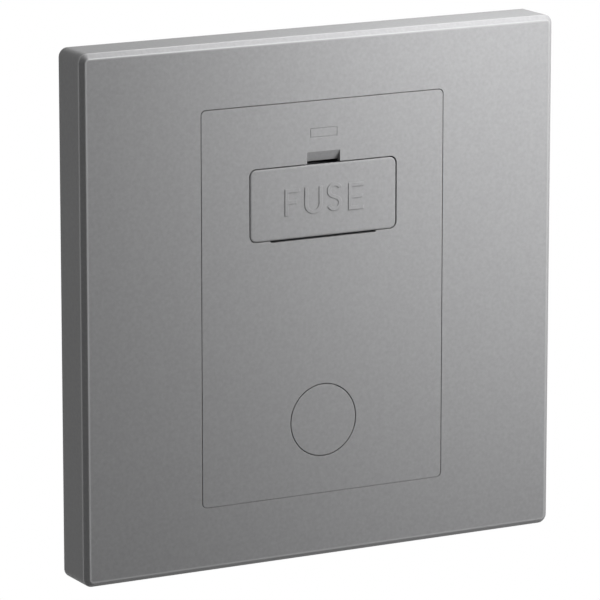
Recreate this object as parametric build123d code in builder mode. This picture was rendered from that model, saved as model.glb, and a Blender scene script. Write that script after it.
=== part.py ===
from build123d import *
import os

# Fused spur unit for a single wall box: a square plate clipped over a support frame, a function
# panel with a pull-out fuse carrier and a blanked cord outlet, and a terminal housing behind it.
# X runs to the right, Y into the wall and Z up. The origin lies on the wall plane, midway between
# the two box fixing holes. Sizes are in millimetres.

os.makedirs("parts", exist_ok=True)

# Front plate
plate_size = 86.0
plate_depth = 7.9
plate_corner = 1.5
plate_bevel = 0.85
plate_edge_round = 0.25
plate_front_wall = 2.0
plate_side_wall = 1.8
plate_rib_width = 1.0
plate_rib_reach = 1.6
plate_rib_pitch = 30.0
plate_rib_setback = 1.5
pry_slot_width = 6.0
pry_slot_depth = 1.2
pry_slot_reach = 2.4

# Spring hooks that hold the plate on the frame
hook_pitch = 40.0
hook_width = 8.0
hook_thickness = 1.2
hook_gap = 0.3
hook_bite = 0.5
hook_barb = 0.6
hook_seat_gap = 0.1
hook_wall_gap = 0.2

# Support frame
frame_margin = 4.2
frame_corner = 3.0
frame_thickness = 2.2
frame_ledge = 1.2
frame_rib_width = 1.4
frame_rib_height = 1.2
frame_opening_room = 0.34
frame_web = 1.0
fixing_pitch = 60.3
fixing_hole_radius = 2.1
fixing_pad_size = 9.2
fixing_pad_height = 0.5
frame_window_width = 7.0
frame_window_height = 16.0
frame_window_side = 7.0
frame_window_end = 13.0

# Function panel
panel_side_border = 21.0
panel_end_border = 10.65
panel_corner = 0.8
panel_wall = 2.2
panel_skirt_wall = 1.6
panel_gap = 0.12
panel_base_gap = 0.06
panel_lip = 1.2
panel_flange_depth = 1.2
panel_flange_corner = 1.5

# Outline of the blank indicator window, a fine groove in the panel
window_width = 4.8
window_height = 1.4
window_drop = 5.2
window_groove = 0.14
window_groove_depth = 0.05

# Fuse carrier: a captive drawer with a face, a roof plate and a floor plate
carrier_drop = 16.19
carrier_side = 0.6
carrier_corner = 1.1
carrier_face = 2.0
carrier_gap = 0.18
carrier_base_gap = 0.1
carrier_edge_round = 0.14
carrier_plate = 1.2
carrier_roof_inset = 1.5
carrier_roof_drop = 0.12
carrier_floor_inset = 3.8
carrier_floor_drop = 0.25
carrier_floor_gap = 0.12
carrier_travel = 12.5
lug_bite = 0.5
lug_depth = 1.0
lug_width = 5.0
stop_gap = 0.2
tunnel_room = 0.3
tunnel_wall = 1.2
tunnel_end_gap = 1.7

# Lever notch above the carrier and the lip it leads to
notch_width = 6.0
notch_height = 1.9
notch_depth = 0.8
notch_gap = 0.3
lever_lip = 0.4
lever_pocket_height = 0.8
lever_pocket_side = 0.2
lever_pocket_reach = 0.6

# Cartridge fuse and the clip that holds its ceramic middle
fuse_length = 25.4
fuse_cap_radius = 3.15
fuse_cap_length = 5.6
fuse_cap_wall = 0.27
fuse_fit = 0.03
cradle_side = 2.1
cradle_wall = 1.0
cradle_fit = 0.05
cradle_snap = 0.55
cradle_reach = 1.6

# Contact strips and jaws
strip_thickness = 0.6
strip_width = 5.0
strip_end_inset = 0.6
contact_gap = 0.08
jaw_width = 4.5
jaw_flare = 0.3
jaw_heel = 0.2
jaw_reach = 2.0
jaw_web_gap = 0.3
jaw_bend = 0.5
jaw_room = 0.41

# Terminal blocks, in a column on each side, and their headless screws
terminal_width = 9.0
terminal_depth = 10.0
terminal_height = 7.0
terminal_rib = 4.3
terminal_front = 5.0
wire_radius = 2.1
wire_depth = 4.0
wire_entry = 5.2
terminal_screw_radius = 1.9
terminal_screw_fit = 0.05
terminal_screw_stand = 1.4
terminal_screw_tip_gap = 0.3

# Terminal housing
housing_side_wall = 2.8
housing_end_wall = 1.6
housing_rear_wall = 3.0
housing_corner_bevel = 1.2
housing_rear_bevel = 0.6
housing_foot = 3.6
pocket_gap = 0.1
access_gap = 0.2
access_recess_width = 7.4
access_recess_height = 5.2
access_recess_depth = 0.7
housing_seat_size = 5.2
housing_seat_depth = 1.8
chamber_gap = 0.4
bridge_room = 2.4
bridge_wall = 1.6

# Posts that press the contact strips on their terminals
post_size = 3.0
post_tunnel_gap = 0.62
post_inset = 1.3
post_gap = 0.05
post_frame_gap = 0.6

# Holes and bosses of the screws that join the housing to the panel
housing_screw_radius = 1.4
housing_screw_fit = 0.05
housing_screw_clearance = 0.3
housing_boss_size = 4.4
housing_boss_margin = 0.1
housing_pilot_depth = 2.8

# Cord outlet and its snap-in plug
outlet_radius = 6.06
outlet_rise = 12.15
outlet_ledge = 0.66
outlet_collar_wall = 2.0
outlet_collar_height = 1.2
plug_gap = 0.15
plug_disc = 1.6
plug_seat_gap = 0.05
plug_leg_gap = 0.2
plug_leg_wall = 0.8
plug_leg_width = 2.4
plug_barb = 0.6
plug_barb_height = 1.0

# Cord clamp behind the outlet
clamp_drop = 5.5
clamp_pitch = 23.0
clamp_end = 3.5
clamp_corner = 1.2
clamp_width = 6.0
clamp_thickness = 3.4
clamp_seat_y = 3.0
clamp_boss_size = 5.6
clamp_saddle_radius = 9.0
clamp_saddle_depth = 1.4
clamp_rib = 0.8
clamp_rib_length = 6.0
clamp_screw_radius = 1.4
clamp_screw_fit = 0.05
clamp_screw_clearance = 0.3
clamp_pilot_depth = 7.0

# Depths, from the room towards the wall
wall_y = 0.0
front_y = -plate_depth
plate_inner_y = front_y + plate_front_wall
panel_back = front_y + panel_wall
frame_front = wall_y - frame_thickness
carrier_back = front_y + carrier_face
lug_front = panel_back + carrier_travel + stop_gap
lug_back = lug_front + lug_depth
strip_front = terminal_front - strip_thickness
fuse_y = strip_front - jaw_web_gap - fuse_cap_radius
tunnel_back = strip_front - tunnel_end_gap
block_back = terminal_front + terminal_depth
screw_back = block_back + terminal_screw_stand
housing_depth = block_back + housing_rear_wall
bridge_inner = lug_back + bridge_room
bridge_depth = bridge_inner + bridge_wall
wire_y = terminal_front + wire_depth

# Plate, frame and panel outlines
cavity_size = plate_size - 2 * plate_side_wall
frame_size = cavity_size - 2 * frame_margin
panel_width = plate_size - 2 * panel_side_border
panel_height = plate_size - 2 * panel_end_border
window_z = panel_height / 2 - window_drop
outlet_z = outlet_rise - panel_height / 2
ledge_radius = outlet_radius - outlet_ledge

# The fuse and its jaws set the carrier's size, and the carrier sets its tunnel's
tube_radius = fuse_cap_radius - fuse_cap_wall - fuse_fit
jaw_x = fuse_length / 2 - fuse_cap_length / 2
jaw_half = fuse_cap_radius + contact_gap + strip_thickness / 2
jaw_outer = jaw_half + strip_thickness / 2 + jaw_flare
carrier_z = panel_height / 2 - carrier_drop
carrier_width = fuse_length + 2 * carrier_side
carrier_height = 2 * (jaw_outer + jaw_room + carrier_plate + carrier_roof_drop)
carrier_top = carrier_z + carrier_height / 2
carrier_bottom = carrier_z - carrier_height / 2
roof_width = carrier_width - 2 * carrier_roof_inset
roof_top = carrier_top - carrier_roof_drop
roof_under = roof_top - carrier_plate
floor_width = carrier_width - 2 * carrier_floor_inset
floor_bottom = carrier_bottom - carrier_floor_drop
floor_top = floor_bottom + carrier_plate
lug_x = (floor_width - lug_width) / 2
opening_top = carrier_top + carrier_gap
opening_bottom = carrier_bottom - carrier_base_gap
slot_bottom = floor_bottom - carrier_floor_gap
lug_top = opening_top + lug_bite
lug_bottom = slot_bottom - lug_bite
tunnel_top = lug_top + tunnel_room
tunnel_bottom = lug_bottom - tunnel_room
tunnel_width = carrier_width + 2 * carrier_gap

# Terminals stand outside the tunnel, and the frame's opening and the screws outside the posts
pocket_width = terminal_width + 2 * pocket_gap
pocket_height = terminal_height + 2 * pocket_gap
terminal_pitch = pocket_height + terminal_rib
post_x = tunnel_width / 2 + tunnel_wall + post_tunnel_gap + post_size / 2
terminal_x = post_x + post_inset
strip_end = terminal_x + terminal_width / 2 - strip_end_inset
earth_z = carrier_z + terminal_pitch
neutral_z = carrier_z - terminal_pitch
frame_opening_width = 2 * (post_x + post_size / 2 + post_frame_gap)
frame_opening_height = 2 * (earth_z + post_size / 2 + frame_opening_room)
housing_screw_hole = housing_screw_radius + housing_screw_clearance
housing_screw_x = frame_opening_width / 2 + frame_web + housing_screw_hole
upper_screw_z = carrier_z + terminal_pitch / 2
lower_screw_z = neutral_z - terminal_pitch / 2
boss_reach = housing_screw_x + housing_boss_size / 2 + housing_boss_margin
flange_width = 2 * max(panel_width / 2 + panel_lip, boss_reach)
flange_height = panel_height + 2 * panel_lip
chamber_width = roof_width + 2 * chamber_gap
housing_width = 2 * (terminal_x + pocket_width / 2 + housing_side_wall)
housing_top = earth_z + pocket_height / 2 + housing_end_wall
housing_bottom = lower_screw_z - housing_foot
housing_height = housing_top - housing_bottom
housing_z = (housing_top + housing_bottom) / 2
clamp_z = housing_bottom - clamp_drop
tiny = 0.01

# Places on the wall plane, as X and Z
sides = (-1, 1)
row_heights = (earth_z, carrier_z, neutral_z)
terminal_places = [(side * terminal_x, z) for side in sides for z in row_heights]
post_places = [(side * post_x, z) for side in sides for z in row_heights]
fixing_places = [(side * fixing_pitch / 2, 0) for side in sides]
screw_heights = (upper_screw_z, lower_screw_z)
housing_screw_places = [(side * housing_screw_x, z) for side in sides for z in screw_heights]
clamp_places = [(side * clamp_pitch / 2, clamp_z) for side in sides]
hook_places = [(across * hook_pitch / 2, up) for across in sides for up in sides]
frame_window_x = frame_size / 2 - frame_window_side
frame_window_z = frame_size / 2 - frame_window_end
window_places = [(a * frame_window_x, b * frame_window_z) for a in sides for b in sides]


def face_plane(y):
    """Plane parallel to the wall at depth y, facing the room, drawn on in X and Z."""
    return Plane.XZ.offset(-y)


def side_plane(x):
    """Plane square to X at the given place, drawn on in Y and Z."""
    return Plane.YZ.offset(x)


# Front plate: bevelled square shell with the panel opening and four spring hooks
with BuildPart() as front_plate:
    with BuildSketch(face_plane(wall_y)):
        RectangleRounded(plate_size, plate_size, plate_corner)
    extrude(amount=plate_depth)
    chamfer(front_plate.faces().sort_by(Axis.Y)[0].edges(), plate_bevel)
    bevel_front = front_plate.edges().filter_by_position(Axis.Y, front_y - tiny, front_y + tiny)
    bevel_y = front_y + plate_bevel
    bevel_back = front_plate.edges().filter_by_position(Axis.Y, bevel_y - tiny, bevel_y + tiny)
    fillet(bevel_front + bevel_back, plate_edge_round)
    with BuildSketch(face_plane(wall_y)):
        Rectangle(cavity_size, cavity_size)
    extrude(amount=wall_y - plate_inner_y, mode=Mode.SUBTRACT)
    with BuildSketch(face_plane(front_y)):
        with Locations((0, (panel_gap - panel_base_gap) / 2)):
            RectangleRounded(
                panel_width + 2 * panel_gap,
                panel_height + panel_gap + panel_base_gap,
                panel_corner + panel_base_gap,
            )
    extrude(amount=-plate_front_wall, mode=Mode.SUBTRACT)
    # Hooks hang from the front wall just outside the frame's upper and lower edges
    hook_inner = frame_size / 2 + hook_gap
    hook_outer = hook_inner + hook_thickness
    hook_tip = frame_size / 2 - hook_bite
    hook_end = wall_y - hook_wall_gap
    barb_front = frame_front + frame_ledge + hook_seat_gap
    for across, up in hook_places:
        with BuildSketch(side_plane(across)):
            with BuildLine():
                Polyline(
                    (plate_inner_y, up * hook_inner),
                    (barb_front, up * hook_inner),
                    (barb_front, up * hook_tip),
                    (barb_front + hook_barb / 2, up * hook_tip),
                    (hook_end, up * hook_inner),
                    (hook_end, up * hook_outer),
                    (plate_inner_y, up * hook_outer),
                    close=True,
                )
            make_face()
        extrude(amount=hook_width / 2, both=True)
    # Short stiffening ribs on the inside of the four walls
    rib_seat = (cavity_size - plate_rib_reach) / 2
    with BuildSketch(face_plane(wall_y - plate_rib_setback)):
        for along in (-plate_rib_pitch, 0, plate_rib_pitch):
            for side in sides:
                with Locations((along, side * rib_seat)):
                    Rectangle(plate_rib_width, plate_rib_reach)
                with Locations((side * rib_seat, along)):
                    Rectangle(plate_rib_reach, plate_rib_width)
    extrude(amount=wall_y - plate_rib_setback - plate_inner_y)
    # Slot in the lower rim for lifting the plate off
    with BuildSketch(face_plane(wall_y)):
        with Locations((0, -plate_size / 2)):
            Rectangle(pry_slot_width, 2 * pry_slot_reach)
    extrude(amount=pry_slot_depth, mode=Mode.SUBTRACT)
front_plate.part.label = "front_plate"
export_step(front_plate.part, "parts/front_plate.step")

# Support frame: the moulded plate that is screwed to the wall box
with BuildPart() as support_frame:
    with BuildSketch(face_plane(wall_y)):
        RectangleRounded(frame_size, frame_size, frame_corner)
        Rectangle(frame_opening_width, frame_opening_height, mode=Mode.SUBTRACT)
    extrude(amount=frame_thickness)
    # Stiffening rib round the edge and a raised pad at each fixing hole
    rib_inner = frame_size - 2 * frame_rib_width
    with BuildSketch(face_plane(frame_front)):
        RectangleRounded(frame_size, frame_size, frame_corner)
        Rectangle(rib_inner, rib_inner, mode=Mode.SUBTRACT)
    extrude(amount=frame_rib_height)
    with BuildSketch(face_plane(frame_front)):
        with Locations(*fixing_places):
            Rectangle(fixing_pad_size, fixing_pad_size)
    extrude(amount=fixing_pad_height)
    with BuildSketch(face_plane(wall_y)):
        with Locations(*fixing_places):
            Circle(fixing_hole_radius)
        with Locations(*housing_screw_places):
            Rectangle(2 * housing_screw_hole, 2 * housing_screw_hole)
        with Locations(*window_places):
            Rectangle(frame_window_width, frame_window_height)
    extrude(amount=frame_thickness + frame_rib_height, mode=Mode.SUBTRACT)
    # Rebates behind the upper and lower edges, where the plate's barbs catch
    rebate_depth = hook_bite + hook_gap
    with BuildSketch(face_plane(wall_y)):
        for across, up in hook_places:
            with Locations((across, up * (frame_size - rebate_depth) / 2)):
                Rectangle(hook_width + 2 * hook_gap, rebate_depth)
    extrude(amount=frame_thickness - frame_ledge, mode=Mode.SUBTRACT)
support_frame.part.label = "support_frame"
export_step(support_frame.part, "parts/support_frame.step")

# Function panel: the flush face with its skirt, fuse tunnel, cord outlet and inner posts
with BuildPart() as function_panel:
    panel_depth = frame_front - front_y
    with BuildSketch(face_plane(frame_front)):
        RectangleRounded(panel_width, panel_height, panel_corner)
    extrude(amount=panel_depth)
    inner_width = panel_width - 2 * panel_skirt_wall
    inner_height = panel_height - 2 * panel_skirt_wall
    with BuildSketch(face_plane(frame_front)):
        Rectangle(inner_width, inner_height)
    extrude(amount=frame_front - panel_back, mode=Mode.SUBTRACT)
    with BuildSketch(face_plane(frame_front)):
        RectangleRounded(flange_width, flange_height, panel_flange_corner)
        Rectangle(inner_width, inner_height, mode=Mode.SUBTRACT)
    extrude(amount=panel_flange_depth)
    with BuildSketch(face_plane(frame_front)):
        with Locations(*housing_screw_places):
            Rectangle(housing_boss_size, housing_boss_size)
    extrude(amount=frame_front - panel_back)
    with BuildSketch(face_plane(frame_front)):
        with Locations(*housing_screw_places):
            Circle(housing_screw_radius + housing_screw_fit)
    extrude(amount=housing_pilot_depth, mode=Mode.SUBTRACT)
    # Tunnel the carrier slides in
    tunnel_z = (tunnel_top + tunnel_bottom) / 2
    tunnel_height = tunnel_top - tunnel_bottom
    with BuildSketch(face_plane(tunnel_back)):
        with Locations((0, tunnel_z)):
            Rectangle(tunnel_width + 2 * tunnel_wall, tunnel_height + 2 * tunnel_wall)
            Rectangle(tunnel_width, tunnel_height, mode=Mode.SUBTRACT)
    extrude(amount=tunnel_back - panel_back)
    # Posts that press each contact strip on its terminal
    with BuildSketch(face_plane(strip_front - post_gap)):
        with Locations(*post_places):
            Rectangle(post_size, post_size)
    extrude(amount=strip_front - post_gap - panel_back)
    # Collar of the cord outlet and bosses of the cord clamp
    collar_back = panel_back + outlet_collar_height
    with BuildSketch(face_plane(collar_back)):
        with Locations((0, outlet_z)):
            Circle(outlet_radius + outlet_collar_wall)
    extrude(amount=outlet_collar_height)
    with BuildSketch(face_plane(clamp_seat_y)):
        with Locations(*clamp_places):
            Rectangle(clamp_boss_size, clamp_boss_size)
    extrude(amount=clamp_seat_y - panel_back)
    with BuildSketch(face_plane(clamp_seat_y)):
        with Locations(*clamp_places):
            Circle(clamp_screw_radius + clamp_screw_fit)
    extrude(amount=clamp_pilot_depth, mode=Mode.SUBTRACT)
    # Carrier opening with the wider slot for the carrier's floor
    with BuildSketch(face_plane(front_y)):
        with Locations((0, (opening_top + opening_bottom) / 2)):
            RectangleRounded(
                tunnel_width, opening_top - opening_bottom, carrier_corner + carrier_base_gap
            )
        with Locations((0, (slot_bottom + carrier_z) / 2)):
            Rectangle(floor_width + 2 * carrier_floor_gap, carrier_z - slot_bottom)
    extrude(amount=-panel_wall, mode=Mode.SUBTRACT)
    # Lever notch: a ramp from the face down to a gap above the carrier's upper edge
    gap_top = opening_top + notch_gap
    notch_top = opening_top + notch_height
    with BuildSketch(face_plane(front_y)):
        with Locations((0, (carrier_z + gap_top) / 2)):
            Rectangle(notch_width, gap_top - carrier_z)
    extrude(amount=-panel_wall, mode=Mode.SUBTRACT)
    with BuildSketch(side_plane(0)):
        with BuildLine():
            Polyline(
                (front_y, notch_top),
                (front_y + notch_depth, gap_top),
                (front_y + notch_depth, carrier_z),
                (front_y, carrier_z),
                close=True,
            )
        make_face()
    extrude(amount=notch_width / 2, both=True, mode=Mode.SUBTRACT)
    # Stepped hole of the cord outlet
    with BuildSketch(face_plane(front_y)):
        with Locations((0, outlet_z)):
            Circle(ledge_radius)
    extrude(amount=front_y - collar_back, mode=Mode.SUBTRACT)
    with BuildSketch(face_plane(front_y)):
        with Locations((0, outlet_z)):
            Circle(outlet_radius)
    extrude(amount=-(plug_disc + plug_seat_gap), mode=Mode.SUBTRACT)
    # Fine outline of the blank window
    with BuildSketch(face_plane(front_y)):
        with Locations((0, window_z)):
            Rectangle(window_width + window_groove, window_height + window_groove)
            Rectangle(
                window_width - window_groove, window_height - window_groove, mode=Mode.SUBTRACT
            )
    extrude(amount=-window_groove_depth, mode=Mode.SUBTRACT)
function_panel.part.label = "function_panel"
export_step(function_panel.part, "parts/function_panel.step")

# Cord outlet plug: a flush disc on four barbed legs that snap behind the collar
with BuildPart() as outlet_plug:
    disc_back = front_y + plug_disc
    barb_seat = collar_back + plug_seat_gap
    barb_tip = barb_seat + plug_barb_height
    leg_limit = ledge_radius - plug_leg_gap
    leg_outer = (leg_limit**2 - (plug_leg_width / 2) ** 2) ** 0.5
    leg_inner = leg_outer - plug_leg_wall
    leg_outline = (
        (disc_back, leg_outer),
        (barb_seat, leg_outer),
        (barb_seat, leg_outer + plug_barb),
        (barb_tip, leg_outer),
        (barb_tip, leg_inner),
        (disc_back, leg_inner),
    )
    with BuildSketch(face_plane(disc_back)):
        with Locations((0, outlet_z)):
            Circle(outlet_radius - plug_gap)
    extrude(amount=plug_disc)
    for side in sides:
        with BuildSketch(side_plane(0)):
            with BuildLine():
                Polyline(*[(y, outlet_z + side * out) for y, out in leg_outline], close=True)
            make_face()
        extrude(amount=plug_leg_width / 2, both=True)
        with BuildSketch(Plane.XY.offset(outlet_z)):
            with BuildLine():
                Polyline(*[(side * out, y) for y, out in leg_outline], close=True)
            make_face()
        extrude(amount=plug_leg_width / 2, both=True)
outlet_plug.part.label = "outlet_plug"
export_step(outlet_plug.part, "parts/outlet_plug.step")

# Fuse carrier: face, roof, floor, stop lugs and the clip that holds the fuse's ceramic middle
with BuildPart() as fuse_carrier:
    with BuildSketch(face_plane(carrier_back)):
        with Locations((0, carrier_z)):
            RectangleRounded(carrier_width, carrier_height, carrier_corner)
    extrude(amount=carrier_face)
    fillet(fuse_carrier.faces().sort_by(Axis.Y)[0].edges(), carrier_edge_round)
    with BuildSketch(face_plane(lug_back)):
        with Locations((0, (roof_top + roof_under) / 2)):
            Rectangle(roof_width, carrier_plate)
        with Locations((0, (floor_top + floor_bottom) / 2)):
            Rectangle(floor_width, carrier_plate)
    extrude(amount=lug_back - carrier_back)
    with BuildSketch(face_plane(lug_back)):
        for side in sides:
            with Locations((side * lug_x, (lug_top + roof_under) / 2)):
                Rectangle(lug_width, lug_top - roof_under)
            with Locations((side * lug_x, (lug_bottom + floor_top) / 2)):
                Rectangle(lug_width, floor_top - lug_bottom)
    extrude(amount=lug_depth)
    # Clip: a block bored for the fuse, with a mouth narrower than the fuse at its back
    cradle_width = fuse_length - 2 * (fuse_cap_length + cradle_side)
    cradle_bore = tube_radius + cradle_fit
    cradle_height = 2 * (cradle_bore + cradle_wall)
    cradle_back = fuse_y + cradle_reach
    with BuildSketch(face_plane(cradle_back)):
        with Locations((0, carrier_z)):
            Rectangle(cradle_width, cradle_height)
    extrude(amount=cradle_back - carrier_back)
    with BuildSketch(side_plane(0)):
        with Locations((fuse_y, carrier_z)):
            Circle(cradle_bore)
        with Locations(((fuse_y + cradle_back) / 2, carrier_z)):
            Rectangle(cradle_back - fuse_y, 2 * (tube_radius - cradle_snap))
    extrude(amount=cradle_width / 2, both=True, mode=Mode.SUBTRACT)
    # Pocket behind the face's upper edge, which the lever tip catches
    pocket_front = front_y + lever_lip
    pocket_back = carrier_back + lever_pocket_reach
    with BuildSketch(face_plane(pocket_back)):
        with Locations((0, carrier_top - lever_pocket_height / 2)):
            Rectangle(notch_width - 2 * lever_pocket_side, lever_pocket_height)
    extrude(amount=pocket_back - pocket_front, mode=Mode.SUBTRACT)
fuse_carrier.part.label = "fuse_carrier"
export_step(fuse_carrier.part, "parts/fuse_carrier.step")

# Cartridge fuse: a ceramic body with a metal cap on each end
cap_inner_radius = tube_radius + fuse_fit
tube_length = fuse_length - 2 * (fuse_cap_wall + fuse_fit)
with BuildPart() as fuse_tube:
    with BuildSketch(side_plane(0)):
        with Locations((fuse_y, carrier_z)):
            Circle(tube_radius)
    extrude(amount=tube_length / 2, both=True)
fuse_tube.part.label = "fuse_tube"
export_step(fuse_tube.part, "parts/fuse_tube.step")

with BuildPart() as fuse_cap_right:
    with BuildSketch(side_plane(fuse_length / 2)):
        with Locations((fuse_y, carrier_z)):
            Circle(fuse_cap_radius)
    extrude(amount=-fuse_cap_length)
    with BuildSketch(side_plane(fuse_length / 2 - fuse_cap_length)):
        with Locations((fuse_y, carrier_z)):
            Circle(cap_inner_radius)
    extrude(amount=fuse_cap_length - fuse_cap_wall, mode=Mode.SUBTRACT)
fuse_cap_right.part.label = "fuse_cap_right"
export_step(fuse_cap_right.part, "parts/fuse_cap_right.step")

with BuildPart() as fuse_cap_left:
    add(fuse_cap_right.part)
    mirror(about=Plane.YZ, mode=Mode.REPLACE)
fuse_cap_left.part.label = "fuse_cap_left"
export_step(fuse_cap_left.part, "parts/fuse_cap_left.step")

# Line contacts: a spring jaw on the fuse cap and a tab on the line terminal
strip_mid = strip_front + strip_thickness / 2
with BuildPart() as line_in_contact:
    with BuildSketch(side_plane(jaw_x)):
        with BuildLine():
            FilletPolyline(
                (fuse_y - jaw_reach, carrier_z + jaw_half + jaw_flare),
                (fuse_y, carrier_z + jaw_half),
                (strip_mid, carrier_z + jaw_half + jaw_heel),
                (strip_mid, carrier_z - jaw_half - jaw_heel),
                (fuse_y, carrier_z - jaw_half),
                (fuse_y - jaw_reach, carrier_z - jaw_half - jaw_flare),
                radius=jaw_bend,
            )
        trace(line_width=strip_thickness)
    extrude(amount=jaw_width / 2, both=True)
    with BuildSketch(face_plane(terminal_front)):
        with Locations(((jaw_x + strip_end) / 2, carrier_z)):
            Rectangle(strip_end - jaw_x, strip_width)
    extrude(amount=strip_thickness)
line_in_contact.part.label = "line_in_contact"
export_step(line_in_contact.part, "parts/line_in_contact.step")

with BuildPart() as line_out_contact:
    add(line_in_contact.part)
    mirror(about=Plane.YZ, mode=Mode.REPLACE)
line_out_contact.part.label = "line_out_contact"
export_step(line_out_contact.part, "parts/line_out_contact.step")

# Straight strips that join the neutral pair and the earth pair
with BuildPart() as neutral_link:
    with BuildSketch(face_plane(terminal_front)):
        with Locations((0, neutral_z)):
            Rectangle(2 * strip_end, strip_width)
    extrude(amount=strip_thickness)
neutral_link.part.label = "neutral_link"
export_step(neutral_link.part, "parts/neutral_link.step")

with BuildPart() as earth_link:
    with BuildSketch(face_plane(terminal_front)):
        with Locations((0, earth_z)):
            Rectangle(2 * strip_end, strip_width)
    extrude(amount=strip_thickness)
earth_link.part.label = "earth_link"
export_step(earth_link.part, "parts/earth_link.step")


def terminal_block(side, height):
    """Brass block with a wire bore along X and a screw hole from its back."""
    with BuildPart() as block:
        with BuildSketch(face_plane(block_back)):
            with Locations((side * terminal_x, height)):
                Rectangle(terminal_width, terminal_height)
        extrude(amount=terminal_depth)
        with BuildSketch(side_plane(side * terminal_x)):
            with Locations((wire_y, height)):
                Circle(wire_radius)
        extrude(amount=terminal_width / 2, both=True, mode=Mode.SUBTRACT)
        with BuildSketch(face_plane(block_back)):
            with Locations((side * terminal_x, height)):
                Circle(terminal_screw_radius + terminal_screw_fit)
        extrude(amount=block_back - wire_y, mode=Mode.SUBTRACT)
    return block.part


# Terminals: supply on the right, load on the left
line_in_terminal = terminal_block(1, carrier_z)
line_in_terminal.label = "line_in_terminal"
export_step(line_in_terminal, "parts/line_in_terminal.step")

line_out_terminal = terminal_block(-1, carrier_z)
line_out_terminal.label = "line_out_terminal"
export_step(line_out_terminal, "parts/line_out_terminal.step")

neutral_in_terminal = terminal_block(1, neutral_z)
neutral_in_terminal.label = "neutral_in_terminal"
export_step(neutral_in_terminal, "parts/neutral_in_terminal.step")

neutral_out_terminal = terminal_block(-1, neutral_z)
neutral_out_terminal.label = "neutral_out_terminal"
export_step(neutral_out_terminal, "parts/neutral_out_terminal.step")

earth_in_terminal = terminal_block(1, earth_z)
earth_in_terminal.label = "earth_in_terminal"
export_step(earth_in_terminal, "parts/earth_in_terminal.step")

earth_out_terminal = terminal_block(-1, earth_z)
earth_out_terminal.label = "earth_out_terminal"
export_step(earth_out_terminal, "parts/earth_out_terminal.step")

# Terminal screws: headless, reached through the housing's rear holes
with BuildPart() as terminal_screws:
    screw_tip = wire_y + wire_radius + terminal_screw_tip_gap
    with BuildSketch(face_plane(screw_back)):
        with Locations(*terminal_places):
            Circle(terminal_screw_radius)
    extrude(amount=screw_back - screw_tip)
terminal_screws.part.label = "terminal_screws"
export_step(terminal_screws.part, "parts/terminal_screws.step")

# Terminal housing: a low bridge over the fuse chamber between two towers of terminal pockets
with BuildPart() as rear_housing:
    tower_width = (housing_width - chamber_width) / 2
    tower_x = (housing_width - tower_width) / 2
    with BuildSketch(face_plane(bridge_depth)):
        with Locations((0, housing_z)):
            Rectangle(housing_width, housing_height)
    extrude(amount=bridge_depth - wall_y)
    with BuildSketch(face_plane(housing_depth)):
        with Locations((-tower_x, housing_z), (tower_x, housing_z)):
            Rectangle(tower_width, housing_height)
    extrude(amount=housing_depth - wall_y)
    upright_edges = rear_housing.edges().filter_by(Axis.Y).group_by(Axis.X)
    chamfer(upright_edges[0] + upright_edges[-1], housing_corner_bevel)
    chamfer(rear_housing.faces().sort_by(Axis.Y)[-2:].edges(), housing_rear_bevel)
    chamber_top = housing_top - housing_end_wall
    chamber_bottom = neutral_z - pocket_height / 2
    chamber_z = (chamber_top + chamber_bottom) / 2
    with BuildSketch(face_plane(wall_y)):
        with Locations((0, chamber_z)):
            Rectangle(chamber_width, chamber_top - chamber_bottom)
    extrude(amount=wall_y - bridge_inner, mode=Mode.SUBTRACT)
    # Shallow recess for the strips and the tunnel, ahead of the pockets
    with BuildSketch(face_plane(wall_y)):
        with Locations((0, chamber_z)):
            Rectangle(2 * terminal_x + pocket_width, chamber_top - chamber_bottom)
    extrude(amount=wall_y - terminal_front, mode=Mode.SUBTRACT)
    with BuildSketch(face_plane(wall_y)):
        with Locations(*terminal_places):
            Rectangle(pocket_width, pocket_height)
    extrude(amount=wall_y - block_back, mode=Mode.SUBTRACT)
    # Screwdriver holes in the rear, each in a shallow recess
    with BuildSketch(face_plane(housing_depth)):
        with Locations(*terminal_places):
            Circle(terminal_screw_radius + access_gap)
    extrude(amount=housing_rear_wall, mode=Mode.SUBTRACT)
    with BuildSketch(face_plane(housing_depth)):
        with Locations(*terminal_places):
            Rectangle(access_recess_width, access_recess_height)
    extrude(amount=access_recess_depth, mode=Mode.SUBTRACT)
    # Square seats for the heads of the joining screws
    with BuildSketch(face_plane(housing_depth)):
        with Locations(*housing_screw_places):
            Rectangle(housing_seat_size, housing_seat_size)
    extrude(amount=housing_seat_depth, mode=Mode.SUBTRACT)
    # Wire entries through the side walls
    for side in sides:
        with BuildSketch(side_plane(side * (housing_width / 2 - housing_side_wall))):
            for height in row_heights:
                with Locations((wire_y, height)):
                    Rectangle(wire_entry, wire_entry)
        extrude(amount=side * housing_side_wall, mode=Mode.SUBTRACT)
    # Screw posts are carried forward through the recess and drilled
    with BuildSketch(face_plane(terminal_front)):
        with Locations(*housing_screw_places):
            Rectangle(housing_boss_size, housing_boss_size)
    extrude(amount=terminal_front - wall_y)
    with BuildSketch(face_plane(wall_y)):
        with Locations(*housing_screw_places):
            Circle(housing_screw_hole)
    extrude(amount=wall_y - housing_depth, mode=Mode.SUBTRACT)
rear_housing.part.label = "rear_housing"
export_step(rear_housing.part, "parts/rear_housing.step")

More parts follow.
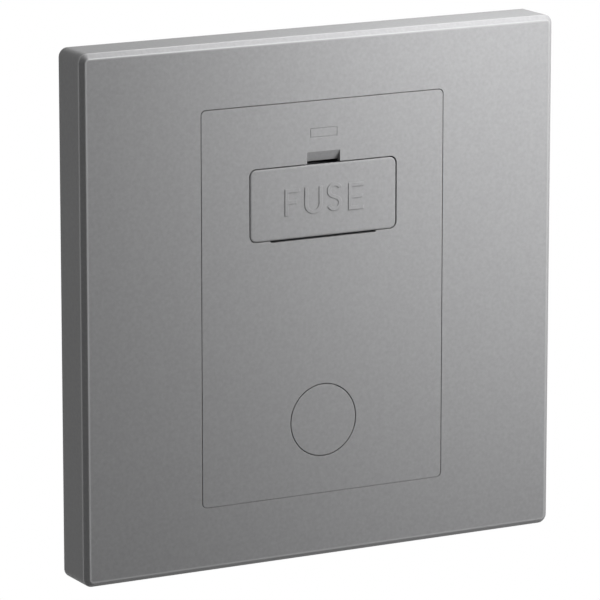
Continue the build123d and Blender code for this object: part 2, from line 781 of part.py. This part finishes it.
# Cord clamp: a saddle bar across the two bosses, ribbed where it grips
with BuildPart() as cord_clamp:
    clamp_back = clamp_seat_y + clamp_thickness
    with BuildSketch(face_plane(clamp_back)):
        with Locations((0, clamp_z)):
            Rectangle(clamp_pitch + 2 * clamp_end, clamp_width)
    extrude(amount=clamp_thickness)
    chamfer(cord_clamp.edges().filter_by(Axis.Y), clamp_corner)
    saddle_y = clamp_seat_y + clamp_saddle_depth - clamp_saddle_radius
    with BuildSketch(Plane.XY.offset(clamp_z)):
        with Locations((0, saddle_y)):
            Circle(clamp_saddle_radius)
    extrude(amount=clamp_width / 2, both=True, mode=Mode.SUBTRACT)
    with BuildSketch(Plane.XY.offset(clamp_z)):
        with Locations((0, clamp_seat_y + clamp_saddle_depth)):
            Rectangle(clamp_rib_length, 2 * clamp_rib)
    extrude(amount=clamp_rib / 2, both=True)
    with BuildSketch(face_plane(clamp_back)):
        with Locations(*clamp_places):
            Circle(clamp_screw_radius + clamp_screw_clearance)
    extrude(amount=clamp_thickness, mode=Mode.SUBTRACT)
cord_clamp.part.label = "cord_clamp"
export_step(cord_clamp.part, "parts/cord_clamp.step")
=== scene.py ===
import math

import bmesh
import bpy
from mathutils import Matrix, Vector


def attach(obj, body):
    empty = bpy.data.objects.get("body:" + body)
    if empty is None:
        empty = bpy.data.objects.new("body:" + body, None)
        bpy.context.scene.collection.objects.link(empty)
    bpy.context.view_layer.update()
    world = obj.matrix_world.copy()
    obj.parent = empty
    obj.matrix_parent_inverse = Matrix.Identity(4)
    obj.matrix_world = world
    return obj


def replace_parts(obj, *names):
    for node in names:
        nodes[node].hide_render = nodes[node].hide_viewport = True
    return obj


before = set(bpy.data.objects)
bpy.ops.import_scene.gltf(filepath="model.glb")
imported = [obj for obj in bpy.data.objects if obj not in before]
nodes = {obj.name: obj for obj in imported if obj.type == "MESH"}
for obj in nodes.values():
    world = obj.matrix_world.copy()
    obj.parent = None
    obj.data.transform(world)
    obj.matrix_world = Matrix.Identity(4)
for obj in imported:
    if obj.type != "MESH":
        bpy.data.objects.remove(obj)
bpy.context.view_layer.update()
scene = bpy.context.scene
mm = 0.001
print("frame loaded with", len(nodes), "nodes")


def linearColour(hexText):
    parts = [int(hexText[i:i + 2], 16) / 255 for i in (1, 3, 5)]
    linear = [c / 12.92 if c <= 0.04045 else ((c + 0.055) / 1.055) ** 2.4 for c in parts]
    return (*linear, 1.0)


def addNode(tree, kind, settings=None, links=None):
    node = tree.nodes.new(kind)
    for key, value in (settings or {}).items():
        if isinstance(key, str) and hasattr(node, key):
            setattr(node, key, value)
        else:
            node.inputs[key].default_value = value
    for key, source in (links or {}).items():
        tree.links.new(source, node.inputs[key])
    return node


mixFrom, mixTo, mixOut = 6, 7, 2  # the colour sockets of a Mix node


def newMaterial(name, settings):
    material = bpy.data.materials.new(name)
    material.use_nodes = True
    tree = material.node_tree
    shader = tree.nodes["Principled BSDF"]
    for key, value in settings.items():
        shader.inputs[key].default_value = value
    return material, tree, shader


# Satin silver lacquer over moulded grey polycarbonate. The fine metal flake in it reads as an even
# grey with a slight grain. The insides, which the spray gun never reaches, are bare grey plastic;
# its dark colour and its start close behind the front are also painted shade in the recesses.
lacquer = {
    "light": "#959596",
    "dark": "#868687",
    # bare plastic, kept dark also as painted shade in the recesses
    "bareAndShade": "#5c5d5f",
    "metallic": 0.08,  # the clear binder covers most of the flake
    "roughness": 0.5,
    "ior": 1.5,
    "softEdge": 0.13,  # mm, paint gathers and rounds every corner
    "carrierEdge": 0.5,  # mm, the carrier is sprayed on its own and its film runs further round
    "edgeSamples": 6,
    "flake": 0.58,  # mm, real flake is ten times finer and would not show
    "orangePeel": 0.9,  # mm, soft waviness of the sprayed film, drawn coarse enough to show
    "peelHeight": 0.05,  # mm
    "peelStrength": 0.04,
    "detail": 1.0,  # of the flake's and the orange peel's noise
    "wallInside": 41.3,  # mm from the centre to the inner side of the plate's walls
    "bareAndShadeDepth": -7.05,  # mm along Y, where bare plastic starts inside those walls; this far forward it is also painted shade
    "paintedHighlight": "#acacad",  # painted highlight: a lighter colour along the bevel's two edges
    "paintedHighlightMetallic": 0.46,
    "paintedHighlightWidth": 0.3,  # mm to each side of an edge
    "cornerCentre": 41.5,  # mm from the middle to the centre of the plate's corner round
    # Painted highlight lines, bevel's front and rear edge: mm beyond that centre, mm along Y,
    # strength
    "paintedHighlightEdges": ((0.65, -7.9, 1.0), (1.5, -7.05, 0.75)),
}


def addBareAndShadeInside(tree, axes):
    # 1 inside the walls and behind the front wall: bare plastic where no paint gets to, and painted
    # shade
    across = addNode(tree, "ShaderNodeMath", {"operation": "ABSOLUTE"}, {0: axes["X"]})
    up = addNode(tree, "ShaderNodeMath", {"operation": "ABSOLUTE"}, {0: axes["Z"]})
    widest = addNode(tree, "ShaderNodeMath", {"operation": "MAXIMUM"}, {
        0: across.outputs[0], 1: up.outputs[0]})
    within = addNode(tree, "ShaderNodeMath", {
        "operation": "LESS_THAN", 1: lacquer["wallInside"] * mm}, {0: widest.outputs[0]})
    behind = addNode(tree, "ShaderNodeMath", {
        "operation": "GREATER_THAN", 1: lacquer["bareAndShadeDepth"] * mm}, {0: axes["Y"]})
    return addNode(tree, "ShaderNodeMath", {"operation": "MULTIPLY"}, {
        0: within.outputs[0], 1: behind.outputs[0]}).outputs[0]


# Painted highlight: 1 on two lines along the plate's bevel edges, falling to 0 to each side
def addPaintedEdgeHighlight(tree, place, depth):
    # Distance outside the corner centres, so that the two lines follow the plate's round corners
    corner = lacquer["cornerCentre"] * mm
    farAway = 1.0  # m, so that Y adds nothing to that distance
    folded = addNode(tree, "ShaderNodeVectorMath", {"operation": "ABSOLUTE"}, {0: place})
    past = addNode(tree, "ShaderNodeVectorMath", {
        "operation": "SUBTRACT", 1: [corner, farAway, corner]}, {0: folded.outputs[0]})
    outside = addNode(tree, "ShaderNodeVectorMath", {
        "operation": "MAXIMUM", 1: [0, 0, 0]}, {0: past.outputs[0]})
    beyond = addNode(tree, "ShaderNodeVectorMath", {
        "operation": "LENGTH"}, {0: outside.outputs[0]}).outputs["Value"]
    # That distance and Y added up grow steadily from the bevel's front edge to its rear edge
    downBevel = addNode(tree, "ShaderNodeMath", {"operation": "ADD"}, {0: beyond, 1: depth})
    lines = []
    for reach, edgeDepth, strength in lacquer["paintedHighlightEdges"]:
        offset = addNode(tree, "ShaderNodeMath", {
            "operation": "SUBTRACT", 1: (reach + edgeDepth) * mm}, {0: downBevel.outputs[0]})
        away = addNode(tree, "ShaderNodeMath", {"operation": "ABSOLUTE"}, {0: offset.outputs[0]})
        line = addNode(tree, "ShaderNodeMapRange", {
            "From Max": lacquer["paintedHighlightWidth"] * mm, "To Min": strength, "To Max": 0.0},
            {"Value": away.outputs[0]})
        lines.append(line.outputs[0])
    both = addNode(tree, "ShaderNodeMath", {"operation": "ADD"}, {0: lines[0], 1: lines[1]})
    onRim = addNode(tree, "ShaderNodeMath", {
        "operation": "GREATER_THAN", 1: lacquer["paintedHighlightWidth"] * mm}, {0: beyond})
    return addNode(tree, "ShaderNodeMath", {"operation": "MULTIPLY"}, {
        0: both.outputs[0], 1: onRim.outputs[0]}).outputs[0]


def makeLacquer(name, softEdge):
    material, tree, shader = newMaterial(name, {
        "Roughness": lacquer["roughness"], "IOR": lacquer["ior"]})
    place = addNode(tree, "ShaderNodeTexCoord").outputs["Object"]
    axes = addNode(tree, "ShaderNodeSeparateXYZ", links={"Vector": place}).outputs
    bareAndShade = addBareAndShadeInside(tree, axes)
    paintedHighlight = addPaintedEdgeHighlight(tree, place, axes["Y"])
    flake = addNode(tree, "ShaderNodeTexNoise", {
        "Scale": 1 / (lacquer["flake"] * mm), "Detail": lacquer["detail"]}, {"Vector": place})
    paint = addNode(tree, "ShaderNodeMix", {
        "data_type": "RGBA", mixFrom: linearColour(lacquer["dark"]),
        mixTo: linearColour(lacquer["light"])}, {0: flake.outputs["Fac"]})
    # Bare plastic inside, kept dark as painted shade in the pocket behind the carrier's lip and
    # other recesses
    sprayedAndShaded = addNode(tree, "ShaderNodeMix", {
        "data_type": "RGBA", mixTo: linearColour(lacquer["bareAndShade"])},
        {0: bareAndShade, mixFrom: paint.outputs[mixOut]})
    # Painted highlight: along the bevel's edges the colour is lighter and the metal more, to mirror
    # more white
    colour = addNode(tree, "ShaderNodeMix", {
        "data_type": "RGBA", mixTo: linearColour(lacquer["paintedHighlight"])},
        {0: paintedHighlight, mixFrom: sprayedAndShaded.outputs[mixOut]})
    flakeMetal = addNode(tree, "ShaderNodeMath", {
        "operation": "MULTIPLY_ADD", 1: -lacquer["metallic"], 2: lacquer["metallic"]}, {0: bareAndShade})
    metal = addNode(tree, "ShaderNodeMath", {
        "operation": "MULTIPLY_ADD", 1: lacquer["paintedHighlightMetallic"]},
        {0: paintedHighlight, 2: flakeMetal.outputs[0]})
    peel = addNode(tree, "ShaderNodeTexNoise", {
        "Scale": 1 / (lacquer["orangePeel"] * mm), "Detail": lacquer["detail"]}, {"Vector": place})
    edge = addNode(tree, "ShaderNodeBevel", {
        "samples": lacquer["edgeSamples"], "Radius": softEdge * mm})
    bump = addNode(tree, "ShaderNodeBump", {
        "Strength": lacquer["peelStrength"], "Distance": lacquer["peelHeight"] * mm},
        {"Height": peel.outputs["Fac"], "Normal": edge.outputs["Normal"]})
    tree.links.new(colour.outputs[mixOut], shader.inputs["Base Color"])
    tree.links.new(metal.outputs[0], shader.inputs["Metallic"])
    tree.links.new(bump.outputs["Normal"], shader.inputs["Normal"])
    return material


# The other finishes run between two shades. Grain is the pattern's size in mm along X, Y and Z.
plastics = {
    # Dark grey with a low gloss and the faint mottle of a spark-eroded mould
    "mouldedDarkPolycarbonate": {
        "light": "#4b4c4f", "dark": "#454649", "roughness": 0.42, "grain": (0.5, 0.5, 0.5)},
    # Warm off-white, hard and a little glossier
    "mouldedLightUrea": {
        "light": "#d3d1cb", "dark": "#cbc9c2", "roughness": 0.38, "grain": (0.6, 0.6, 0.6)},
    # Cream and waxy, with a soft sheen
    "mouldedNaturalNylon": {
        "light": "#dedace", "dark": "#d6d2c5", "roughness": 0.5, "grain": (0.5, 0.5, 0.5)},
    # A dull white ceramic with a fine speckle
    "unglazedSteatite": {
        "light": "#e6e2d8", "dark": "#dcd7cb", "roughness": 0.62, "grain": (0.3, 0.3, 0.3)},
}
metals = {
    # Bright warm grey with fine lines round the fuse's caps
    "nickelPlatedBrass": {
        "light": "#cdc8bf", "dark": "#bdb7ad", "roughness": 0.24, "grain": (0.1, 2.0, 2.0)},
    # Reddish strip with long lines from the rolls
    "rolledPhosphorBronze": {
        "light": "#c99a6b", "dark": "#b5875a", "roughness": 0.36, "grain": (3.0, 0.12, 0.12)},
    # Yellow, with the cutter's lines across it
    "machinedBrass": {
        "light": "#d4b478", "dark": "#c3a163", "roughness": 0.32, "grain": (0.12, 2.5, 2.5)},
    # Cool grey and slightly cloudy
    "zincPlatedSteel": {
        "light": "#c6c8ca", "dark": "#b3b6b9", "roughness": 0.34, "grain": (0.6, 0.6, 0.6)},
}


def makeGrained(name, spec, metallic):
    material, tree, shader = newMaterial(name, {
        "Roughness": spec["roughness"], "Metallic": metallic})
    place = addNode(tree, "ShaderNodeTexCoord").outputs["Object"]
    stretch = addNode(tree, "ShaderNodeMapping", {
        "Scale": [1 / (size * mm) for size in spec["grain"]]}, {"Vector": place})
    grain = addNode(tree, "ShaderNodeTexNoise", {"Scale": 1.0}, {"Vector": stretch.outputs[0]})
    colour = addNode(tree, "ShaderNodeMix", {
        "data_type": "RGBA", mixFrom: linearColour(spec["dark"]),
        mixTo: linearColour(spec["light"])}, {0: grain.outputs["Fac"]})
    tree.links.new(colour.outputs[mixOut], shader.inputs["Base Color"])
    return material


finishes = {
    "satinSilverLacquer": makeLacquer("satinSilverLacquer", lacquer["softEdge"]),
    "satinSilverLacquerRound": makeLacquer("satinSilverLacquerRound", lacquer["carrierEdge"]),
}
for name, spec in plastics.items():
    finishes[name] = makeGrained(name, spec, 0.0)
for name, spec in metals.items():
    finishes[name] = makeGrained(name, spec, 1.0)

nodeFinish = {
    "front_plate": "satinSilverLacquer",
    "function_panel": "satinSilverLacquer",
    "fuse_carrier": "satinSilverLacquerRound",
    "outlet_plug": "satinSilverLacquer",
    "support_frame": "mouldedDarkPolycarbonate",
    "rear_housing": "mouldedLightUrea",
    "cord_clamp": "mouldedNaturalNylon",
    "fuse_tube": "unglazedSteatite",
    "fuse_cap_left": "nickelPlatedBrass",
    "fuse_cap_right": "nickelPlatedBrass",
    "line_in_contact": "rolledPhosphorBronze",
    "line_out_contact": "rolledPhosphorBronze",
    "neutral_link": "rolledPhosphorBronze",
    "earth_link": "rolledPhosphorBronze",
    "terminal_screws": "zincPlatedSteel",
}
for name, node in nodes.items():
    finish = nodeFinish.get(name, "machinedBrass")  # the six terminal blocks
    node.data.materials.clear()
    node.data.materials.append(finishes[finish])
print("materials on all nodes:", len(finishes), "finishes")


def addPiece(name, shape, finish, body):
    mesh = bpy.data.meshes.new(name)
    shape.to_mesh(mesh)
    shape.free()
    piece = bpy.data.objects.new(name, mesh)
    scene.collection.objects.link(piece)
    mesh.materials.append(finishes[finish])
    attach(piece, body)
    return piece


# Raised lettering: each letter is a few strokes, drawn flat in mm and then given its thickness.
# A stroke is a start point, a heading in degrees and its steps: a length, or a radius and an angle.
# Stems are divided where a bar meets them, a stroke's width high, so that the two weld.
letterDrawing = {
    "capHeight": 4.5,
    "stroke": 0.62,
    "arcStep": 9,  # degrees
    "leastSteps": 6,
    "weld": 0.001,
}
letterStrokes = {
    "F": (((0.31, 4.5), -90, (0.62, 1.29, 0.62, 1.97)),
          ((0.62, 4.19), 0, (2.14,)),
          ((0.62, 2.28), 0, (1.55,))),
    "U": (((0.31, 4.5), -90, (2.855, (1.335, 180), 2.855)),),
    "S": (((2.41, 3.99), 115, ((1.0, 224), 0.72, (1.0, -224))),),
    "E": (((0.31, 4.5), -90, (0.62, 1.32, 0.62, 1.32, 0.62)),
          ((0.62, 4.19), 0, (2.26,)),
          ((0.62, 2.25), 0, (2.08,)),
          ((0.62, 0.31), 0, (2.26,))),
    "L": (((0.31, 4.5), -90, (3.88, 0.62)),
          ((0.62, 0.31), 0, (2.2,))),
    "N": (((0.31, 4.5), -90, (4.5,)),
          ((2.9, 4.5), -90, (4.5,)),
          ((0.68, 4.3), -65.5, (4.3,))),
}


def drawLetter(shape, letter):
    for start, heading, steps in letterStrokes[letter]:
        angle = math.radians(heading)
        point = Vector((*start, 0))
        side = Vector((-math.sin(angle), math.cos(angle), 0)) * letterDrawing["stroke"] / 2
        edge = shape.edges.new([shape.verts.new(point + side), shape.verts.new(point - side)])
        for step in steps:
            ahead = Vector((math.cos(angle), math.sin(angle), 0))
            if isinstance(step, tuple):
                radius, degrees = step
                turn = math.radians(degrees)
                left = Vector((-ahead.y, ahead.x, 0)) * (radius if turn > 0 else -radius)
                count = int(abs(degrees) / letterDrawing["arcStep"])
                made = bmesh.ops.spin(
                    shape, geom=[edge, *edge.verts], cent=point + left, axis=(0, 0, 1), angle=turn,
                    steps=max(letterDrawing["leastSteps"], count), use_merge=False)["geom_last"]
                point = point + left + Matrix.Rotation(turn, 3, "Z") @ -left
                angle += turn
            else:
                made = bmesh.ops.extrude_edge_only(shape, edges=[edge])["geom"]
                ends = [v for v in made if isinstance(v, bmesh.types.BMVert)]
                bmesh.ops.translate(shape, vec=ahead * step, verts=ends)
                point = point + ahead * step
            edge = [e for e in made if isinstance(e, bmesh.types.BMEdge)][0]


def addLettering(name, spec, finish, body):
    shape = bmesh.new()
    scale = spec["height"] / letterDrawing["capHeight"]
    for letter, left, foot, stretch in spec["letters"]:
        part = bmesh.new()
        drawLetter(part, letter)
        bmesh.ops.remove_doubles(part, verts=part.verts, dist=letterDrawing["weld"])
        part.normal_update()
        bmesh.ops.reverse_faces(part, faces=[f for f in part.faces if f.normal.z < 0])
        bmesh.ops.solidify(part, geom=part.faces[:], thickness=spec["rise"] + spec["sink"])
        low = min(v.co.z for v in part.verts)
        bmesh.ops.translate(part, vec=(0, 0, -low), verts=part.verts)
        bmesh.ops.scale(part, vec=(scale * stretch, scale, 1), verts=part.verts)
        onFace = Matrix.Translation((left, foot, -spec["sink"]))
        bmesh.ops.transform(part, matrix=spec["turn"] @ onFace, verts=part.verts)
        bmesh.ops.recalc_face_normals(part, faces=part.faces)
        letterMesh = bpy.data.meshes.new(name)
        part.to_mesh(letterMesh)
        part.free()
        shape.from_mesh(letterMesh)
        bpy.data.meshes.remove(letterMesh)
    bmesh.ops.scale(shape, vec=(mm, mm, mm), verts=shape.verts)
    addPiece(name, shape, finish, body)


# Sizes in mm. A letter has its left side, its foot and its stretch sideways.
upright = Matrix.Rotation(math.pi / 2, 4, "X")  # stands flat letters up, read from the front
turnedRound = Matrix.Rotation(math.pi, 4, "Z")
faceFront = -7.9  # the common front face
carrierWord = {
    "letters": (("F", -7.05, 14.05, 1), ("U", -3.45, 14.05, 1),
                ("S", 0.45, 14.05, 1.08), ("E", 4.55, 14.05, 1)),
    "height": 4.4,
    "rise": 0.09,
    "sink": 0.1,
    "turn": Matrix.Translation((0, faceFront, 0)) @ upright,
}
addLettering("carrierWord", carrierWord, "satinSilverLacquer", "carrier")

# Terminal marks on the housing's bridge, read from behind: both columns run earth, line, neutral
bridgeBack = 12.0  # rear face of the bridge
terminalRows = {"E": 27.66, "L": 16.16, "N": 4.66}  # heights of the terminals
terminalMarks = {
    "column": 5.3,  # from the middle, far enough in to show past the towers
    "halfWidth": 1.0,
    "height": 3.0,
    "rise": 0.25,
    "sink": 0.1,
    "turn": Matrix.Translation((0, bridgeBack, 0)) @ turnedRound @ upright,
}
terminalMarks["letters"] = [
    (letter, side * terminalMarks["column"] - terminalMarks["halfWidth"],
     row - terminalMarks["height"] / 2, 1)
    for side in (-1, 1) for letter, row in terminalRows.items()]
addLettering("terminalMarks", terminalMarks, "mouldedLightUrea", "unit")
print("lettering on the carrier and the housing")

# Screws: a turned profile of radii and heights in mm, with slots cut in its end, head to the wall
screwMaking = {"sides": 40, "weld": 0.00001, "sharpAngle": 30}


def addScrews(name, spec):
    turned = bmesh.new()
    ring = [turned.verts.new((radius, 0, height)) for radius, height in spec["profile"]]
    edges = [turned.edges.new(pair) for pair in zip(ring, ring[1:])]
    bmesh.ops.spin(turned, geom=ring + edges, cent=(0, 0, 0), axis=(0, 0, 1), angle=2 * math.pi,
                   steps=screwMaking["sides"], use_merge=True)
    bmesh.ops.remove_doubles(turned, verts=turned.verts, dist=screwMaking["weld"])
    bmesh.ops.recalc_face_normals(turned, faces=turned.faces)
    mesh = bpy.data.meshes.new(name)
    turned.to_mesh(mesh)
    turned.free()
    blank = bpy.data.objects.new(name, mesh)
    scene.collection.objects.link(blank)
    headTop = spec["profile"][-1][1]
    cutters = []
    for length, width, depth in spec["slots"]:
        box = bmesh.new()
        made = bmesh.ops.create_cube(box, size=1.0)["verts"]
        bmesh.ops.scale(box, vec=(length, width, 2 * depth), verts=made)
        bmesh.ops.translate(box, vec=(0, 0, headTop), verts=made)
        boxMesh = bpy.data.meshes.new(name + "Slot")
        box.to_mesh(boxMesh)
        box.free()
        cutter = bpy.data.objects.new(name + "Slot", boxMesh)
        scene.collection.objects.link(cutter)
        cut = blank.modifiers.new("slot", "BOOLEAN")
        cut.object = cutter
        cut.solver = "EXACT"
        cutters.append(cutter)
    bpy.context.view_layer.update()
    slotted = blank.evaluated_get(bpy.context.evaluated_depsgraph_get())
    ready = bpy.data.meshes.new_from_object(slotted)
    for spent in [blank, *cutters]:
        bpy.data.objects.remove(spent)
    shape = bmesh.new()
    for x, z in spec["places"]:
        first = len(shape.verts)
        shape.from_mesh(ready)
        shape.verts.ensure_lookup_table()
        turn = Matrix.Translation((x, spec["seat"], z)) @ Matrix.Rotation(-math.pi / 2, 4, "X")
        bmesh.ops.transform(shape, matrix=turn, verts=shape.verts[first:])
    bmesh.ops.scale(shape, vec=(mm, mm, mm), verts=shape.verts)
    bpy.data.meshes.remove(ready)
    screws = addPiece(name, shape, "zincPlatedSteel", "unit")
    screws.data.shade_smooth()
    screws.data.set_sharp_from_angle(angle=math.radians(screwMaking["sharpAngle"]))
    return screws


# A slot has its length, width and depth, a place its X and Z, and the seat under the head its Y
housingScrews = {
    "profile": ((0, -20.8), (1.0, -20.8), (1.4, -19.4), (1.4, 0), (2.4, 0), (2.4, 0.9),
                (2.1, 1.3), (1.5, 1.5), (0, 1.5)),
    "slots": ((2.8, 0.7, 0.9), (0.7, 2.8, 0.9)),
    "places": ((-21.6, 21.91), (-21.6, -1.09), (21.6, 21.91), (21.6, -1.09)),
    "seat": 16.2,
}
clampScrews = {
    "profile": ((0, -9.4), (1.0, -9.4), (1.4, -8.2), (1.4, 0), (2.6, 0), (2.6, 1.1),
                (2.3, 1.5), (1.6, 1.7), (0, 1.7)),
    "slots": ((3.0, 0.7, 1.0), (0.7, 3.0, 1.0)),
    "places": ((-11.5, -10.19), (11.5, -10.19)),
    "seat": 6.4,
}
terminalScrews = {
    "profile": ((0, -5.0), (1.5, -5.0), (1.9, -4.6), (1.9, -0.25), (1.65, 0), (0, 0)),
    "slots": ((4.0, 0.7, 0.9),),
    "places": [(x, z) for x in (-18.1, 18.1) for z in terminalRows.values()],
    "seat": 16.4,
}
addScrews("housingScrews", housingScrews)
addScrews("clampScrews", clampScrews)
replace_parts(addScrews("terminalScrews", terminalScrews), "terminal_screws")
print("screws in the housing, the clamp and the terminals")

# Camera: stands to the left of the unit and above it, and looks down at it with no roll
cameraSpec = {
    "place": (-354.5, -656.4, 160.8),  # mm
    "yaw": 28.37,  # degrees
    "pitch": 12.30,
    "focalPixels": 4689,
    "framePixels": 600,
    "sensor": 36,  # mm
    "nearest": 10,  # mm
}
yaw, pitch = math.radians(cameraSpec["yaw"]), math.radians(cameraSpec["pitch"])
cameraData = bpy.data.cameras.new("camera")
cameraData.sensor_width = cameraSpec["sensor"]
cameraData.lens = cameraSpec["focalPixels"] / cameraSpec["framePixels"] * cameraSpec["sensor"]
cameraData.clip_start = cameraSpec["nearest"] * mm
camera = bpy.data.objects.new("camera", cameraData)
scene.collection.objects.link(camera)
camera.location = Vector(cameraSpec["place"]) * mm
look = Vector((math.sin(yaw) * math.cos(pitch), math.cos(yaw) * math.cos(pitch), -math.sin(pitch)))
camera.rotation_mode = "QUATERNION"
camera.rotation_quaternion = look.to_track_quat("-Z", "Y")
scene.camera = camera

# Soft lamps, places and sizes in mm. They light without being mirrored, because they would burn out
# the plate's edges. The panel above is only mirrored: it brightens the upper bevel.
lamps = {
    "topLamp": {"place": (80, -30, 140), "size": 100, "power": 0.168},
    "highLamp": {"place": (30, -60, 80), "size": 60, "power": 0.064},
    "nearLamp": {"place": (75, -70, 40), "size": 60, "power": 0.025},
    "sideLamp": {"place": (80, -100, 0), "size": 80, "power": 0.072},
    "rearLamp": {"place": (60, 450, -10), "size": 100, "power": 0.05, "spread": 30},
    "panel": {"place": (4, -28, 128), "size": 60, "power": 0.064, "onlyMirrored": True},
}
for name, spec in lamps.items():
    lamp = bpy.data.lights.new(name, "AREA")
    lamp.shape = "DISK"
    lamp.size = spec["size"] * mm
    lamp.energy = spec["power"]
    lamp.spread = math.radians(spec.get("spread", 180))
    holder = bpy.data.objects.new(name, lamp)
    scene.collection.objects.link(holder)
    holder.location = Vector(spec["place"]) * mm
    aim = -Vector(spec["place"])  # at the unit
    holder.rotation_euler = aim.to_track_quat("-Z", "Y").to_euler()
    holder.visible_camera = False
    holder.visible_diffuse = not spec.get("onlyMirrored", False)
    holder.visible_glossy = spec.get("onlyMirrored", False)

# White surroundings for the camera, a plain grey level for the light that reaches the unit
surroundings = {"ambient": "#4a4a4a", "shown": "#ffffff"}


def addShownRays(tree):
    rays = addNode(tree, "ShaderNodeLightPath").outputs
    mirrored = addNode(tree, "ShaderNodeMath", {"operation": "MAXIMUM"}, {
        0: rays["Is Glossy Ray"], 1: rays["Is Transmission Ray"]})
    return addNode(tree, "ShaderNodeMath", {"operation": "MAXIMUM"}, {
        0: rays["Is Camera Ray"], 1: mirrored.outputs[0]}).outputs[0]


def makeSurroundings():
    world = bpy.data.worlds.new("studio")
    scene.world = world
    world.use_nodes = True
    tree = world.node_tree
    tree.nodes.clear()
    ambient = addNode(tree, "ShaderNodeBackground", {
        "Color": linearColour(surroundings["ambient"])})
    shown = addNode(tree, "ShaderNodeBackground", {"Color": linearColour(surroundings["shown"])})
    pick = addNode(tree, "ShaderNodeMixShader", links={
        0: addShownRays(tree), 1: ambient.outputs[0], 2: shown.outputs[0]})
    addNode(tree, "ShaderNodeOutputWorld", links={"Surface": pick.outputs[0]})


# Matt white paper below the unit: an even pale floor with hardly any sheen, white further away
floorSpec = {
    "height": -220,  # mm
    "half": 4000,  # mm
    "colour": "#f4f4f4",
    "roughness": 0.9,
    "specular": 0.1,
    "fadeFrom": 250,  # mm from the unit's middle
    "fadeTo": 480,  # mm
    "glow": 0.7,  # share of plain white near the unit
}


def makeFloor():
    shape = bmesh.new()
    bmesh.ops.create_grid(shape, x_segments=1, y_segments=1, size=floorSpec["half"] * mm)
    bmesh.ops.translate(shape, vec=(0, 0, floorSpec["height"] * mm), verts=shape.verts)
    mesh = bpy.data.meshes.new("floor")
    shape.to_mesh(mesh)
    shape.free()
    floor = bpy.data.objects.new("floor", mesh)
    scene.collection.objects.link(floor)
    material, tree, shader = newMaterial("mattWhitePaper", {
        "Base Color": linearColour(floorSpec["colour"]), "Roughness": floorSpec["roughness"],
        "Specular IOR Level": floorSpec["specular"]})
    place = addNode(tree, "ShaderNodeTexCoord").outputs["Object"]
    reach = addNode(tree, "ShaderNodeVectorMath", {"operation": "LENGTH"}, {0: place})
    fade = addNode(tree, "ShaderNodeMapRange", {
        "From Min": floorSpec["fadeFrom"] * mm, "From Max": floorSpec["fadeTo"] * mm,
        "To Min": floorSpec["glow"]}, {"Value": reach.outputs["Value"]})
    seen = addNode(tree, "ShaderNodeMath", {"operation": "MULTIPLY"}, {
        0: fade.outputs[0], 1: addShownRays(tree)})
    glow = addNode(tree, "ShaderNodeEmission", {"Color": linearColour(surroundings["shown"])})
    blend = addNode(tree, "ShaderNodeMixShader", links={
        0: seen.outputs[0], 1: shader.outputs[0], 2: glow.outputs[0]})
    tree.links.new(blend.outputs[0], tree.nodes["Material Output"].inputs["Surface"])
    mesh.materials.append(material)


makeSurroundings()
makeFloor()
scene.view_settings.view_transform = "Standard"
print("camera, lamps and floor in place")
